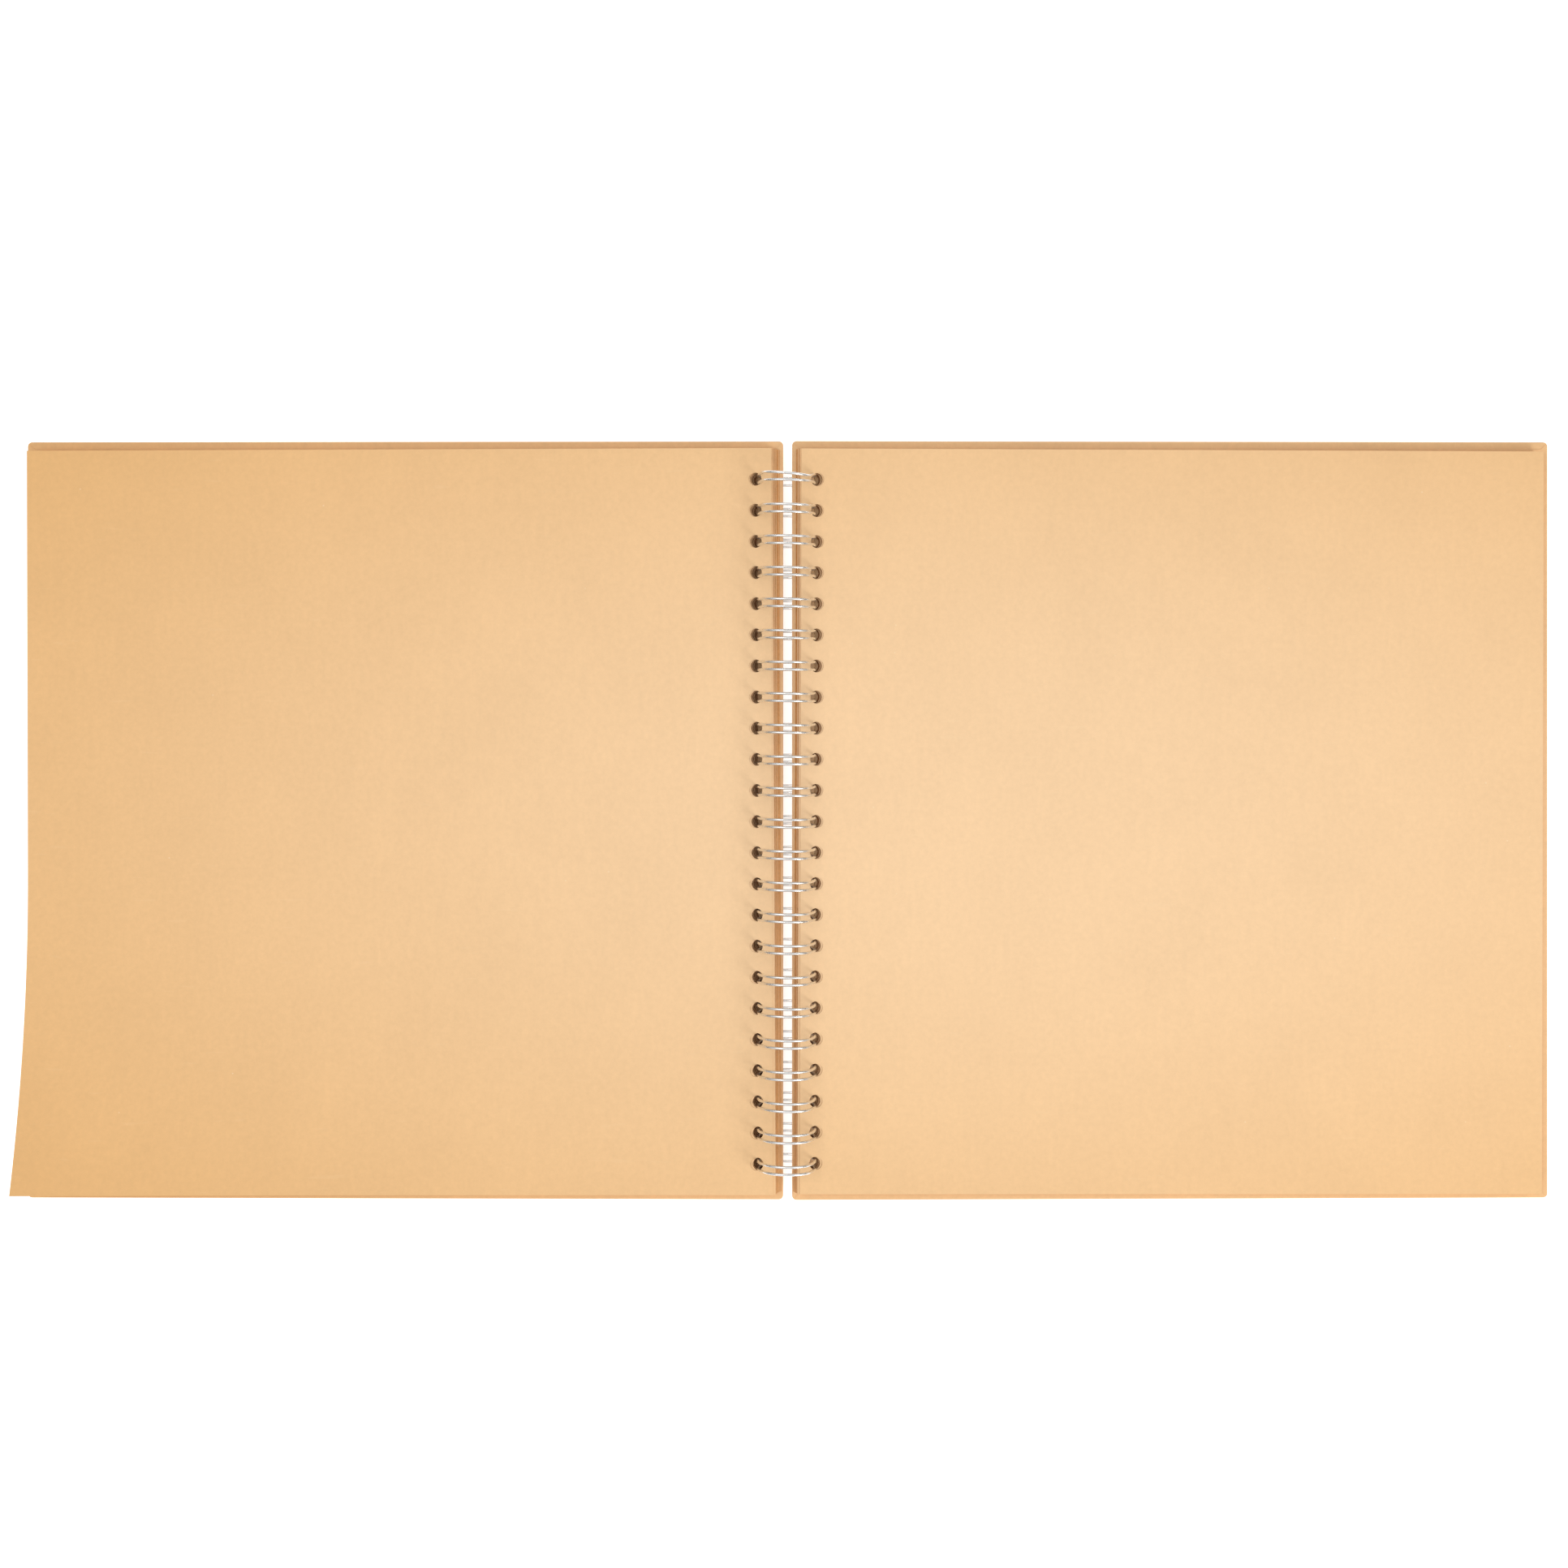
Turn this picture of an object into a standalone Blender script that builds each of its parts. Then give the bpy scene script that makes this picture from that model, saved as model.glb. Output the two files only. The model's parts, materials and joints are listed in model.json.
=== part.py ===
"""A square wire-bound sketchbook, opened flat on a table.

Two wrapped board covers and a block of kraft sheets hang on one twin-loop wire. The frame has +X to
the right, +Y towards the head of the pages and +Z up. Its origin is on the table under the middle of
the wire's axis, which runs along Y. Each half of the book is made flat in the frame of its own hinge
empty, which lies on the wire's axis, and the empty tips it down until the cover's outer edge rests
on the table.
"""

import math

import bmesh
import bpy
from mathutils import Vector
from mathutils.geometry import tessellate_polygon

# sheets and covers
PAGE_SIDE = 0.3048
COVER_SIDE = 0.3120
SPINE_MARGIN = 0.0066
SHEET_PITCH = 0.00028
SHEET_GAP = 0.00003
CORNER_RADIUS = 0.0018
CORNER_STEPS = 3

# the layers of a cover, from the outside to the inside
WRAP_THICKNESS = 0.00015
BOARD_THICKNESS = 0.00135
LINING_THICKNESS = 0.00015
LAYER_GAP = 0.00003
TURN_IN = 0.0150
LINING_INSET = 0.0030

# the punched holes
HOLE_COUNT = 23
HOLE_PITCH = 0.0127
HOLE_INRADIUS = 0.00265
HOLE_SIDES = 6
HOLE_SLACK = 0.0009

# the twin-loop wire
RING_RADIUS = 0.0116
WIRE_RADIUS = 0.00055
LEG_SPACING = 0.0030
ROOT_ANGLE = math.radians(-68.0)
ROOT_BEND_RADIUS = 0.0012
CLOSURE_GAP = 0.0017
FACET_RADIUS_SHARE = 1.0060
LEG_STEPS = 12
TIP_STEPS = 4
BEND_STEPS = 2
WIRE_SIDES = 4

# where each cover's spine edge lies from the wire's axis, and what lies on it
FRONT_EDGE_OFFSET = 0.00147
BACK_EDGE_OFFSET = 0.00236
FRONT_BUNDLES = (4, 4, 4, 4, 4, 3)
BACK_BUNDLES = (3, 3, 3, 3, 3)
FIRST_SHEET_GAP = 0.00005

AXIS_HEIGHT = RING_RADIUS + WIRE_RADIUS
COVER_THICKNESS = 2 * WRAP_THICKNESS + BOARD_THICKNESS + LINING_THICKNESS + 3 * LAYER_GAP

KRAFT = (0.83, 0.60, 0.36)
KRAFT_SHEET = (0.90, 0.68, 0.43)
GREY_BOARD = (0.46, 0.41, 0.34)
SATIN_STEEL = (0.72, 0.72, 0.70)


def clear_scene():
    for item in list(bpy.data.objects):
        bpy.data.objects.remove(item, do_unlink=True)


def make_material(name, color, roughness, metallic=0.0):
    material = bpy.data.materials.new(name)
    material.use_nodes = True
    shader = material.node_tree.nodes["Principled BSDF"]
    shader.inputs["Base Color"].default_value = (*color, 1.0)
    shader.inputs["Roughness"].default_value = roughness
    shader.inputs["Metallic"].default_value = metallic
    return material


def ring_reach(height):
    """How far from the axis, sideways, the wire's centre line is at a height above the axis."""
    return math.sqrt(RING_RADIUS ** 2 - height ** 2)


def hole_rows():
    """The y of each punched hole, from the tail to the head."""
    first = -0.5 * (HOLE_COUNT - 1) * HOLE_PITCH
    return [first + i * HOLE_PITCH for i in range(HOLE_COUNT)]


def hole_outline(y):
    """A hexagonal hole about (0, y), its flats on the round hole's circle."""
    radius = HOLE_INRADIUS / math.cos(math.pi / HOLE_SIDES)
    turns = [math.pi / 2 + 2 * math.pi * k / HOLE_SIDES for k in range(HOLE_SIDES)]
    return [(radius * math.cos(t), y + radius * math.sin(t)) for t in turns]


def rectangle(near, far, half):
    return [(near, -half), (far, -half), (far, half), (near, half)]


def rounded_rectangle(near, far, half, radius):
    """The same rectangle with round corners, counter-clockwise from the near tail corner."""
    centres = [
        (near + radius, -half + radius, math.pi),
        (far - radius, -half + radius, 1.5 * math.pi),
        (far - radius, half - radius, 0.0),
        (near + radius, half - radius, 0.5 * math.pi),
    ]
    points = []
    for x, y, start in centres:
        for k in range(CORNER_STEPS + 1):
            turn = start + 0.5 * math.pi * k / CORNER_STEPS
            points.append((x + radius * math.cos(turn), y + radius * math.sin(turn)))
    return points


def add_loop(mesh, outline, shift, height, side):
    """One closed loop of vertices, moved out by shift and mirrored to the book's side."""
    return [mesh.verts.new((side * (x + shift), y, height)) for x, y in outline]


def fill(mesh, outlines, loops):
    """A flat face over the outer loop, open inside the others."""
    flat = [v for loop in loops for v in loop]
    rings = [[Vector((x, y, 0.0)) for x, y in outline] for outline in outlines]
    for corners in tessellate_polygon(rings):
        mesh.faces.new([flat[i] for i in corners])


def wall(mesh, low, high):
    """The band of faces between two loops of as many vertices."""
    for i in range(len(low)):
        j = (i + 1) % len(low)
        mesh.faces.new((low[i], low[j], high[j], high[i]))


def finish_object(mesh, name, material, parent):
    """Turn the mesh's faces outwards and hang it on its hinge."""
    bmesh.ops.recalc_face_normals(mesh, faces=mesh.faces)
    data = bpy.data.meshes.new(name)
    mesh.to_mesh(data)
    mesh.free()
    data.materials.append(material)
    item = bpy.data.objects.new(name, data)
    bpy.context.collection.objects.link(item)
    item.parent = parent
    return item


def punched_plate(name, outline, low, high, shifts, side, material, parent):
    """A flat layer with the row of holes, between two heights, sheared when its shifts differ."""
    mesh = bmesh.new()
    outlines = [outline] + [hole_outline(y) for y in hole_rows()]
    bottom = [add_loop(mesh, o, shifts[0], low, side) for o in outlines]
    top = [add_loop(mesh, o, shifts[1], high, side) for o in outlines]
    fill(mesh, outlines, bottom)
    fill(mesh, outlines, top)
    for below, above in zip(bottom, top):
        wall(mesh, below, above)
    return finish_object(mesh, name, material, parent)


def wrap_sheet(name, near, far, low, shift, side, material, parent):
    """The paper around a board: outer face, four edges, and turn-ins that leave a window inside."""
    half = 0.5 * COVER_SIDE
    t = WRAP_THICKNESS
    high = low + 2 * t + BOARD_THICKNESS + 2 * LAYER_GAP
    outside = rounded_rectangle(near, far, half, CORNER_RADIUS)
    inside = rounded_rectangle(near + t, far - t, half - t, CORNER_RADIUS - t)
    window = rectangle(near + TURN_IN, far - TURN_IN, half - TURN_IN)
    holes = [hole_outline(y) for y in hole_rows()]
    mesh = bmesh.new()

    def loops(outlines, height):
        return [add_loop(mesh, o, shift, height, side) for o in outlines]

    outer_low = loops([outside], low)
    outer_high = loops([outside], high)
    inner_low = loops([inside], low + t)
    inner_high = loops([inside], high - t)
    window_low = loops([window], high - t)
    window_high = loops([window], high)
    sheet_low = loops(holes, low)
    sheet_high = loops(holes, low + t)
    flap_low = loops(holes, high - t)
    flap_high = loops(holes, high)
    fill(mesh, [outside] + holes, outer_low + sheet_low)
    fill(mesh, [inside] + holes, inner_low + sheet_high)
    fill(mesh, [inside, window] + holes, inner_high + window_low + flap_low)
    fill(mesh, [outside, window] + holes, outer_high + window_high + flap_high)
    wall(mesh, outer_low[0], outer_high[0])
    wall(mesh, inner_low[0], inner_high[0])
    wall(mesh, window_low[0], window_high[0])
    for below, above in zip(sheet_low + flap_low, sheet_high + flap_high):
        wall(mesh, below, above)
    return finish_object(mesh, name, material, parent)


def cover_floor(hole_offset):
    """The height of a cover's outer face: the wire fills its straight holes evenly, low and high."""
    low, high = -RING_RADIUS, 0.0
    for _ in range(60):
        middle = 0.5 * (low + high)
        reach = 0.5 * (ring_reach(middle) + ring_reach(min(middle + COVER_THICKNESS, 0.0)))
        if reach < hole_offset:
            low = middle
        else:
            high = middle
    return middle


def resting_tilt(edge_offset, floor):
    """The angle that puts a cover's outer lower edge on the table."""
    reach = edge_offset + COVER_SIDE
    return math.asin(AXIS_HEIGHT / math.hypot(reach, floor)) - math.atan2(-floor, reach)


def make_hinge(name, side, tilt):
    """An empty on the wire's axis, tipped so that its half of the book slopes to the table."""
    hinge = bpy.data.objects.new(name, None)
    bpy.context.collection.objects.link(hinge)
    hinge.location = (0.0, 0.0, AXIS_HEIGHT)
    hinge.rotation_euler = (0.0, side * tilt, 0.0)
    return hinge


def make_cover(prefix, edge_offset, floor, side, hinge, paper, board):
    """A cover's wrap, board and lining, with one row of holes through all three."""
    shift = edge_offset + SPINE_MARGIN
    near = -SPINE_MARGIN
    far = near + COVER_SIDE
    half = 0.5 * COVER_SIDE
    wrap_sheet(prefix + "_wrap", near, far, floor, shift, side, paper, hinge)
    inset = WRAP_THICKNESS + LAYER_GAP
    radius = CORNER_RADIUS - inset
    outline = rounded_rectangle(near + inset, far - inset, half - inset, radius)
    low = floor + inset
    high = low + BOARD_THICKNESS
    shifts = (shift, shift)
    punched_plate(prefix + "_board", outline, low, high, shifts, side, board, hinge)
    inset = LINING_INSET
    outline = rectangle(near + inset, far - inset, half - inset)
    low = high + 2 * LAYER_GAP + WRAP_THICKNESS
    high = low + LINING_THICKNESS
    punched_plate(prefix + "_lining", outline, low, high, shifts, side, paper, hinge)
    return floor + COVER_THICKNESS


def make_sheets(name, start, count, side, hinge, paper):
    """A bundle of sheets from one height up, its edges and holes fanned along the wire's curve."""
    low = start
    high = start + count * SHEET_PITCH - SHEET_GAP
    outline = rectangle(-SPINE_MARGIN, PAGE_SIDE - SPINE_MARGIN, 0.5 * PAGE_SIDE)
    shifts = (ring_reach(low) + HOLE_SLACK, ring_reach(high) + HOLE_SLACK)
    punched_plate(name, outline, low, high, shifts, side, paper, hinge)
    return start + count * SHEET_PITCH


def make_half(prefix, stack, edge_offset, bundles, side, materials):
    """One cover with its bundles of sheets and the single sheet on top."""
    kraft, sheet, board = materials
    floor = cover_floor(edge_offset + SPINE_MARGIN)
    tilt = resting_tilt(edge_offset, floor)
    hinge = make_hinge(prefix + "_hinge", side, tilt)
    top = make_cover(prefix, edge_offset, floor, side, hinge, kraft, board)
    level = top + FIRST_SHEET_GAP
    for number, count in enumerate(bundles, start=1):
        level = make_sheets(f"{stack}_sheets_{number}", level, count, side, hinge, sheet)
    sheet_hinge = make_hinge(stack + "_top_sheet_hinge", side, tilt)
    make_sheets(f"{stack}_top_sheet", level, 1, side, sheet_hinge, sheet)


def wire_route():
    """The wire's centre line as (angle round the axis, y), one long hairpin for each hole."""
    bend = ROOT_BEND_RADIUS / RING_RADIUS
    tip_radius = 0.5 * LEG_SPACING
    apex = ROOT_ANGLE + 2 * math.pi - CLOSURE_GAP / RING_RADIUS
    leg_start = ROOT_ANGLE + bend
    leg_end = apex - tip_radius / RING_RADIUS
    leg = [leg_start + (leg_end - leg_start) * k / LEG_STEPS for k in range(LEG_STEPS + 1)]
    route = []
    rows = hole_rows()
    for number, y in enumerate(rows):
        if number > 0:
            for k in range(BEND_STEPS):
                turn = 0.5 * math.pi * k / BEND_STEPS
                across = ROOT_BEND_RADIUS * (1 - math.sin(turn))
                along = bend * (1 - math.cos(turn))
                route.append((ROOT_ANGLE + along, y - tip_radius - across))
        route += [(angle, y - tip_radius) for angle in leg]
        for k in range(1, TIP_STEPS):
            turn = math.pi * k / TIP_STEPS
            along = tip_radius * math.sin(turn) / RING_RADIUS
            route.append((leg_end + along, y - tip_radius * math.cos(turn)))
        route += [(angle, y + tip_radius) for angle in reversed(leg)]
        if number < len(rows) - 1:
            for k in range(1, BEND_STEPS + 1):
                turn = 0.5 * math.pi * k / BEND_STEPS
                across = ROOT_BEND_RADIUS * (1 - math.cos(turn))
                along = bend * (1 - math.sin(turn))
                route.append((ROOT_ANGLE + along, y + tip_radius + across))
    return route


def make_wire(material):
    """One wire swept along its route, its section square to the axis of the loops."""
    radius = RING_RADIUS * FACET_RADIUS_SHARE
    outward = [Vector((math.cos(a), 0.0, math.sin(a))) for a, _ in wire_route()]
    points = [radius * n + Vector((0.0, y, 0.0)) for n, (_, y) in zip(outward, wire_route())]
    mesh = bmesh.new()
    rings = []
    for i, (point, normal) in enumerate(zip(points, outward)):
        ahead = points[min(i + 1, len(points) - 1)] - point
        behind = point - points[max(i - 1, 0)]
        tangent = ahead.normalized() + behind.normalized()
        sideways = tangent.cross(normal).normalized()
        ring = []
        for k in range(WIRE_SIDES):
            turn = 2 * math.pi * k / WIRE_SIDES
            offset = math.cos(turn) * normal + math.sin(turn) * sideways
            ring.append(mesh.verts.new(point + WIRE_RADIUS * offset))
        rings.append(ring)
    for low, high in zip(rings, rings[1:]):
        wall(mesh, low, high)
    mesh.faces.new(rings[0])
    mesh.faces.new(rings[-1])
    hinge = bpy.data.objects.new("wire_axis", None)
    bpy.context.collection.objects.link(hinge)
    hinge.location = (0.0, 0.0, AXIS_HEIGHT)
    item = finish_object(mesh, "twin_loop_wire", material, hinge)
    item.data.shade_smooth()
    return item


def main():
    clear_scene()
    kraft = make_material("kraft_cover", KRAFT, 0.85)
    sheet = make_material("kraft_sheet", KRAFT_SHEET, 0.9)
    board = make_material("grey_board", GREY_BOARD, 0.95)
    steel = make_material("satin_steel", SATIN_STEEL, 0.3, 1.0)
    materials = (kraft, sheet, board)
    make_half("back", "right", BACK_EDGE_OFFSET, BACK_BUNDLES, 1, materials)
    make_half("front", "left", FRONT_EDGE_OFFSET, FRONT_BUNDLES, -1, materials)
    make_wire(steel)


main()
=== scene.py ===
"""The looks of an opened, wire-bound kraft sketchbook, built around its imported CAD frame.

Every layer is remade with round holes and its own small faults: each sheet lies a little differently,
the left-hand top sheet curls at its lower outer corner, and the wire's loops are slightly out of line.
Lengths are in metres. A sheet's own coordinates are (out, along): out from the row of holes towards the
fore-edge, and along the wire towards the head. Heights are measured from the wire's axis, square to
the sheets.
"""

import json
import math
import random

import bmesh
import bpy
from mathutils import Matrix, Vector
from mathutils.geometry import tessellate_polygon


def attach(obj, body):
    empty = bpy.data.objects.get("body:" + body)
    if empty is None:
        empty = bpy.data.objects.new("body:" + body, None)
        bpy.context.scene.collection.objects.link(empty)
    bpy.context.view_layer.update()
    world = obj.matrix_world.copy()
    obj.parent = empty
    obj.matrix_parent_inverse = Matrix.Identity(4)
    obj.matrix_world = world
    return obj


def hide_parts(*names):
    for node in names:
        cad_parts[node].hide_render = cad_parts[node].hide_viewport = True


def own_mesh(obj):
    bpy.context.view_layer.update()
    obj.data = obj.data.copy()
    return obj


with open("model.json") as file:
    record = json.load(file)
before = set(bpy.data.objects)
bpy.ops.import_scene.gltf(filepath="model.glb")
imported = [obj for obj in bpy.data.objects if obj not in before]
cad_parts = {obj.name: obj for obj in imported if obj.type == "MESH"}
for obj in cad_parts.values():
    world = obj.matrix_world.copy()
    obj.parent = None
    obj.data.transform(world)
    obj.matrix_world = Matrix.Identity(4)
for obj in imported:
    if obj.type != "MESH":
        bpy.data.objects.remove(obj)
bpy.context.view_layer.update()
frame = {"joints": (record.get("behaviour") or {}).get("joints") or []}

# the design's driving dimensions. The wire's root stands further round its ring than in the frame,
# so that the hairpins' tips stay under the back cover's edge
AXIS_HEIGHT = frame["joints"][0]["pos_m"][2]
PAGE_SIDE = 0.3048
COVER_SIDE = 0.3120
SPINE_MARGIN = 0.0066
SHEET_PITCH = 0.00028
SHEET_GAP = 0.00003
CORNER_RADIUS = 0.0018
WRAP_THICKNESS = 0.00015
BOARD_THICKNESS = 0.00135
LINING_THICKNESS = 0.00015
LAYER_GAP = 0.00003
TURN_IN = 0.0150
LINING_INSET = 0.0030
HOLE_COUNT = 23
HOLE_PITCH = 0.0127
HOLE_RADIUS = 0.00265
HOLE_SLACK = 0.0009
RING_RADIUS = 0.0116
WIRE_RADIUS = 0.00055
LEG_SPACING = 0.0030
ROOT_ANGLE = math.radians(-61.0)
ROOT_BEND_RADIUS = 0.0012
CLOSURE_GAP = 0.0017
FIRST_SHEET_GAP = 0.00005
COVER_THICKNESS = 2 * WRAP_THICKNESS + BOARD_THICKNESS + LINING_THICKNESS + 3 * LAYER_GAP

# how finely heights are searched for and round shapes are cut
BISECTIONS = 60
HOLE_STEPS = 28
BURIED_HOLE_STEPS = 18
LEG_STEPS = 44
TIP_STEPS = 12
BEND_STEPS = 6
WIRE_STEPS = 14
EDGE_STEPS = 5
PAGE_CELLS = 72

# a wrapped edge's rounding, and the open mitre where two turn-ins meet
EDGE_RADIUS = 0.00045
MITRE_HALF_WIDTH = 0.00009
MITRE_DEPTH = 0.00011
MITRE_TURNS = (42.0, 48.0)
CORNER_TURNS = (0.0, 15.0, 30.0, *MITRE_TURNS, 60.0, 75.0, 90.0)

# how the sheets lie: slides are outwards, in metres, and yaws are slopes along the wire
SHEET_WANDER = 0.00016
YAW_WANDER = 0.05 * SHEET_WANDER / SPINE_MARGIN
STACK_YAW = 0.0034
TOP_YAW = 0.0026
STACK_SLIDE = -0.00070
LEFT_TOP_SLIDE = 0.00000
RIGHT_TOP_SLIDE = -0.00006

# the curled corner of the left-hand top sheet
CURL_LENGTH = 0.112
CURL_LIFT = 0.0205
CURL_HEADING = math.radians(32.0)
CURL_PULL_OUT = 0.01
CURL_PULL_ALONG = 0.235

# the strip of a top sheet that holds its holes, and stays flat
PUNCHED_STRIP = 2.0 * SPINE_MARGIN

# how far the wire's loops lean out of line. They are straight up to a height above the axis, so that
# the sheets' holes pass over them, and lean fully from another, both as shares of the ring's radius
LOOP_SKEW = 0.00017
LOOP_WANDER = 0.00005
BENT_LOOP_SKEW = 0.00062
BENT_LOOP_PINCH = 0.24
SKEW_FROM = 0.30
SKEW_FULL = 0.65

HALVES = {
    "back": {
        "side": 1,
        "stack": "right",
        "edge_offset": 0.00236,
        "bundles": (3, 3, 3, 3, 3),
        "body": "back_cover",
        "top_slide": RIGHT_TOP_SLIDE,
    },
    "front": {
        "side": -1,
        "stack": "left",
        "edge_offset": 0.00147,
        "bundles": (4, 4, 4, 4, 4, 3),
        "body": "front_cover",
        "top_slide": LEFT_TOP_SLIDE,
    },
}

# colours, as linear red, green and blue
SHEET_WARM = (0.737, 0.413, 0.151)
# painted light: the sheets' pale colour stands in for the pool of light round the middle of the opened book
SHEET_PAINTED_LIGHT = (0.862, 0.593, 0.347)
SHEET_EDGE = (0.620, 0.300, 0.105)
# painted shade: the hole walls are coloured darker than the cut edges, standing in for the shade inside the
# holes
HOLE_WALL_SHADE = (0.360, 0.150, 0.055)
COVER_WARM = (0.780, 0.455, 0.195)
# painted light: the cover's pale colour stands in for the same painted pool of light
COVER_PAINTED_LIGHT = (0.840, 0.560, 0.310)
BOARD_GREY = (0.230, 0.190, 0.140)
FIBRE = (0.930, 0.720, 0.450)
PALE_FLECK = (0.950, 0.800, 0.580)
DARK_FLECK = (0.200, 0.100, 0.050)
STEEL = (0.820, 0.810, 0.790)
TABLE = (0.900, 0.900, 0.900)
WHITE = (1.0, 1.0, 1.0)

# how fine each texture is: a higher scale is finer
CLOUD_SCALE = 22.0
MOTTLE_SCALE = 430.0
GRAIN_SCALE = 260.0
FIBRE_SCALE = 300.0
TOOTH_SCALE = 1400.0
FUZZ_SCALE = 700.0
BLOT_SCALE = 300.0
PATCH_SCALE = 380.0
DRAW_MARK_SCALE = 900.0

# flecks in the paper: the cells they stand in, their radius, the share of cells that have one
PALE_FLECKS = (0.009, 0.00042, 0.14)
DARK_FLECKS = (0.013, 0.00050, 0.012)

# painted light: the paper is painted palest round a point on the opened book, as a pool of light, and
# warmer away from it, soonest along the wire
PAINTED_LIGHT_MIDDLE = (0.098, 0.0035, AXIS_HEIGHT)
PAINTED_LIGHT_STRETCH = Vector((1.0, 1.94, 1.0))
PAINTED_LIGHT_REACH = (0.038, 0.680)

# the camera hangs over the wire, nearer the head than the middle of the book
CAMERA_PLACE = (0.0003, 0.0550, 0.8200)
CAMERA_LENS = 45.5
CAMERA_SHIFT = (-0.0021, -0.0620)

# lamps aimed at the middle of the book: their place, size in metres and power in watts
KEY_LAMP = ((1.15, -0.75, 0.95), 0.60, 10.0)
FILL_LAMP = ((-0.45, 0.10, 1.00), 0.50, 2.0)

# the sky grows brighter between two heights
SKY_HEIGHTS = (0.05, 0.80)
SKY_STRENGTHS = (0.14, 0.90)

TABLE_SIDE = 8.0
TABLE_DROP = 0.0001

# painted light: the table glows with its own light, which washes out its shadows, but the glow is left out
# under the punched edges, as painted shade that shows through the holes: the glow fades between each pair
# of distances, two across the wire and one along it
TABLE_GLOW = 0.60
SHADE_START = (0.0022, 0.0032)
SHADE_END = (0.0115, 0.0155)
SHADE_LENGTH = (0.1450, 0.1500)

rng = random.Random(23)


# ---------------------------------------------------------------- materials


class Nodes:
    """A short way to write a node tree."""

    def __init__(self, tree):
        self.tree = tree

    def add(self, kind, **settings):
        node = self.tree.nodes.new(kind)
        for name, value in settings.items():
            setattr(node, name, value)
        return node

    def link(self, output, target):
        self.tree.links.new(output, target)

    def noise(self, coordinates, scale, detail=4.0, roughness=0.6, stretch=(1.0, 1.0, 1.0)):
        """A noise texture's value, its grain drawn out along an axis by stretch."""
        mapping = self.add("ShaderNodeMapping")
        mapping.inputs["Scale"].default_value = stretch
        self.link(coordinates, mapping.inputs["Vector"])
        noise = self.add("ShaderNodeTexNoise")
        noise.inputs["Scale"].default_value = scale
        noise.inputs["Detail"].default_value = detail
        noise.inputs["Roughness"].default_value = roughness
        self.link(mapping.outputs["Vector"], noise.inputs["Vector"])
        return noise.outputs["Fac"]

    def remap(self, value, low, high, to_low, to_high, smooth=False):
        node = self.add("ShaderNodeMapRange")
        node.interpolation_type = "SMOOTHSTEP" if smooth else "LINEAR"
        numbers = {"From Min": low, "From Max": high, "To Min": to_low, "To Max": to_high}
        for name, number in numbers.items():
            node.inputs[name].default_value = number
        self.link(value, node.inputs["Value"])
        return node.outputs["Result"]

    def math(self, operation, first, second):
        node = self.add("ShaderNodeMath", operation=operation)
        for socket, value in zip(node.inputs, (first, second)):
            if isinstance(value, (int, float)):
                socket.default_value = value
            else:
                self.link(value, socket)
        return node.outputs["Value"]

    def mix(self, factor, first, second):
        """Two colours, each a tuple or an output, mixed by a number or an output."""
        node = self.add("ShaderNodeMix", data_type="RGBA")
        for socket, value in zip((node.inputs[0], node.inputs[6], node.inputs[7]), (factor, first, second)):
            if isinstance(value, tuple):
                socket.default_value = (*value, 1.0)
            elif isinstance(value, (int, float)):
                socket.default_value = value
            else:
                self.link(value, socket)
        return node.outputs[2]

    def scaled(self, colour, *strengths):
        """A colour made lighter or darker by each strength in turn."""
        for strength in strengths:
            node = self.add("ShaderNodeVectorMath", operation="SCALE")
            self.link(colour, node.inputs[0])
            self.link(strength, node.inputs["Scale"])
            colour = node.outputs["Vector"]
        return colour


def new_material(name, slot):
    material = bpy.data.materials.new(name)
    material.use_nodes = True
    material["slot"] = slot
    nodes = Nodes(material.node_tree)
    return material, nodes, material.node_tree.nodes["Principled BSDF"]


def specks(nodes, coordinates, spacing, radius, chosen):
    """1 inside small round flecks that stand in a chosen share of the cells, else 0."""
    cells = nodes.add("ShaderNodeTexVoronoi")
    cells.inputs["Scale"].default_value = 1.0 / spacing
    nodes.link(coordinates, cells.inputs["Vector"])
    split = nodes.add("ShaderNodeSeparateColor")
    nodes.link(cells.outputs["Color"], split.inputs["Color"])
    limit = radius / spacing
    near = nodes.remap(cells.outputs["Distance"], 0.5 * limit, limit, 1.0, 0.0, smooth=True)
    picked = nodes.math("GREATER_THAN", split.outputs["Red"], 1.0 - chosen)
    return nodes.math("MULTIPLY", near, picked)


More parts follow.
